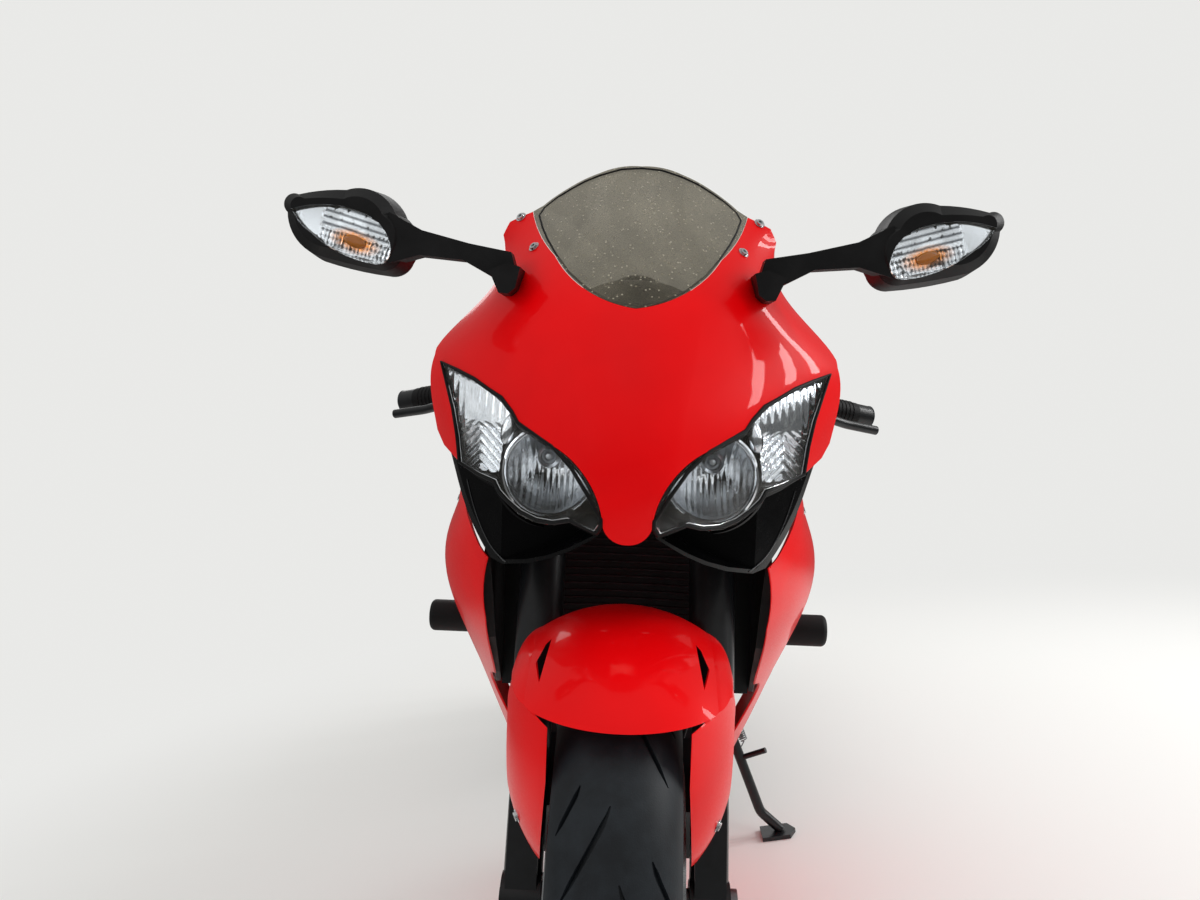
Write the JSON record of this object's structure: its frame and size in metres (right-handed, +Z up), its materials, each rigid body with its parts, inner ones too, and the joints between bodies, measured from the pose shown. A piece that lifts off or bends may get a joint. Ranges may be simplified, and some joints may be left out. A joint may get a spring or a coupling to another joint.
{
  "type": "sport bike",
  "caption": "Fully faired sport motorcycle with twin swept headlamps, clip-on bars, under-engine exhaust and a side stand that it leans on",
  "frame": {"origin": "centre of the bounding box's floor, with the bike leaning on its side stand", "axes": "+X to the bike's left, where the side stand is; +Y to its rear; +Z up"},
  "size_m": [0.7976, 2.0798, 1.1193],
  "materials": {
    "amber_lens": "gloss",
    "bare_alloy": "satin",
    "black_gloss": "gloss",
    "black_metal": "satin",
    "black_plastic": "matte",
    "core": "matte",
    "cover_alloy": "satin",
    "disc_steel": "brushed",
    "engine_alloy": "satin",
    "exhaust_steel": "satin",
    "frame_alloy": "satin",
    "lamp_glass": "gloss",
    "lamp_metal": "polished",
    "mirror": "polished",
    "red_lens": "gloss",
    "red_paint": "gloss",
    "red_plastic": "gloss",
    "rubber": "matte",
    "screen": "gloss",
    "seat_cover": "matte",
    "steel": "satin",
    "tyre": "matte"
  },
  "bodies": {
    "chassis": {"frame": "frame_alloy", "engine": "engine_alloy", "engine_covers": "cover_alloy", "airbox": "black_plastic", "radiator": "core", "exhaust": "exhaust_steel", "upper_cowl": "red_plastic", "windscreen": "screen", "headlamp_lenses": "lamp_glass", "headlamp_housings": "lamp_metal", "intake_ducts": "black_gloss", "inner_panels": "black_plastic", "side_cowls": "red_plastic", "belly_pan": "red_plastic", "fairing_stay": "black_metal", "dash": "black_plastic", "mirror_housings": "black_plastic", "mirror_indicators": "lamp_glass", "mirror_glasses": "mirror", "fuel_tank": "red_paint", "tank_cap": "bare_alloy", "rider_seat": "seat_cover", "pillion_seat": "seat_cover", "tail_cowl": "red_plastic", "tail_lamp": "red_lens", "subframe": "black_metal", "rear_mudguard": "black_plastic", "rear_indicator_stalks": "rubber", "rear_indicator_lenses": "amber_lens", "footrests": "bare_alloy", "frame_sliders": "rubber", "swingarm": "frame_alloy", "pivot_bolt": "steel", "rear_shock": "steel", "rear_hugger": "black_plastic", "rear_caliper": "black_metal", "chain": "steel", "drive_sprocket": "steel", "rear_axle": "steel"},
    "fork": {"fork_tubes": "black_metal", "fork_sliders": "black_metal", "yokes": "frame_alloy", "handlebars": "black_metal", "grips": "rubber", "controls": "black_metal", "front_mudguard": "red_plastic", "front_calipers": "black_metal", "brake_hoses": "rubber", "front_axle": "steel"},
    "front_wheel": {"front_rim": "black_metal", "front_tyre": "tyre", "front_discs": "disc_steel"},
    "rear_wheel": {"rear_rim": "black_metal", "rear_tyre": "tyre", "rear_disc": "disc_steel", "rear_sprocket": "steel"},
    "stand": {"side_stand": "black_metal"}
  },
  "joints": [
    {"name": "steering", "type": "hinge", "parent": "chassis", "child": "fork", "pos_m": [-0.03757, -0.48699, 0.79982], "axis": [0.1674, 0.3955, 0.9031], "range_deg": [-25, 25]},
    {"name": "front_wheel_spin", "type": "hinge", "parent": "fork", "child": "front_wheel", "pos_m": [-0.13081, -0.74, 0.29674], "axis": [0.9833, 0, -0.1822], "continuous": true},
    {"name": "rear_wheel_spin", "type": "hinge", "parent": "chassis", "child": "rear_wheel", "pos_m": [-0.1288, 0.67, 0.30755], "axis": [0.9833, 0, -0.1822], "continuous": true},
    {"name": "side_stand_swing", "type": "hinge", "parent": "chassis", "child": "stand", "pos_m": [0.0185, 0.022, 0.22432], "axis": [0.9463, 0, 0.3232], "range_deg": [0, 86]}
  ]
}
